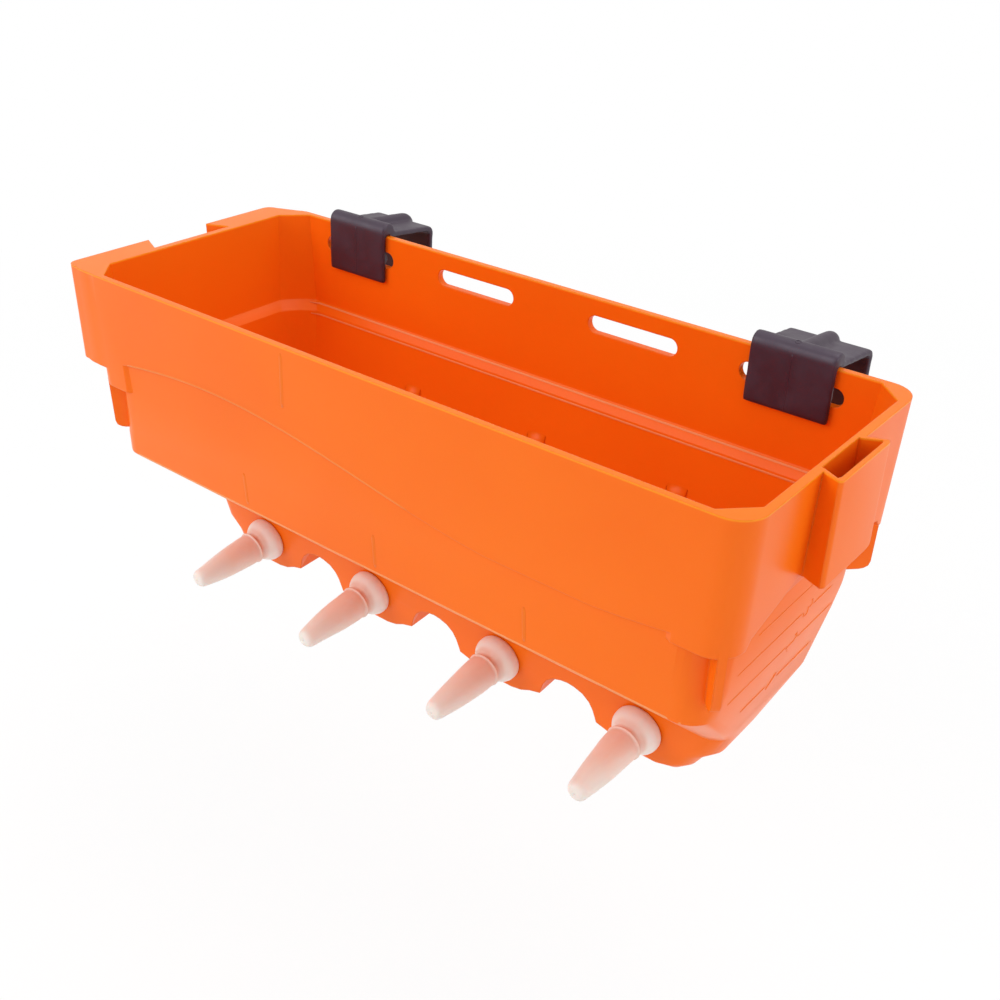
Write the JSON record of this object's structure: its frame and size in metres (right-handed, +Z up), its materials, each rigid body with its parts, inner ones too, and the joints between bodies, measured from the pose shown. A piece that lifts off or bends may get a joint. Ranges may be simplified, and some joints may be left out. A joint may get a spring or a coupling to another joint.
{
  "type": "lamb milk feeder trough",
  "caption": "Hang-on milk feeder trough for lambs: moulded divided trough with pull-through teats along the front, dovetail couplings at the ends and slot-in rail hooks at the back.",
  "frame": {"origin": "on the hanging rail: midway between the two hooks, in the middle of their throats, on the underside of their shelves", "axes": "+X along the trough towards the dovetail end, +Y from the teats to the rail (back), +Z up"},
  "size_m": [0.51, 0.2325, 0.228],
  "materials": {
    "trough_plastic": "satin moulded polypropylene",
    "teat_rubber": "soft matt",
    "hook_plastic": "matt moulded nylon"
  },
  "bodies": {
    "trough": {"trough": "trough_plastic", "teat_1": "teat_rubber", "teat_2": "teat_rubber", "teat_3": "teat_rubber", "teat_4": "teat_rubber"},
    "hook_left": {"hook_left": "hook_plastic"},
    "hook_right": {"hook_right": "hook_plastic"}
  },
  "joints": [
    {"name": "hook_left_slide", "type": "slide", "parent": "trough", "child": "hook_left", "axis": [1, 0, 0], "range_m": [-0.007, 0.007]},
    {"name": "hook_right_slide", "type": "slide", "parent": "trough", "child": "hook_right", "axis": [1, 0, 0], "range_m": [-0.007, 0.007]}
  ]
}
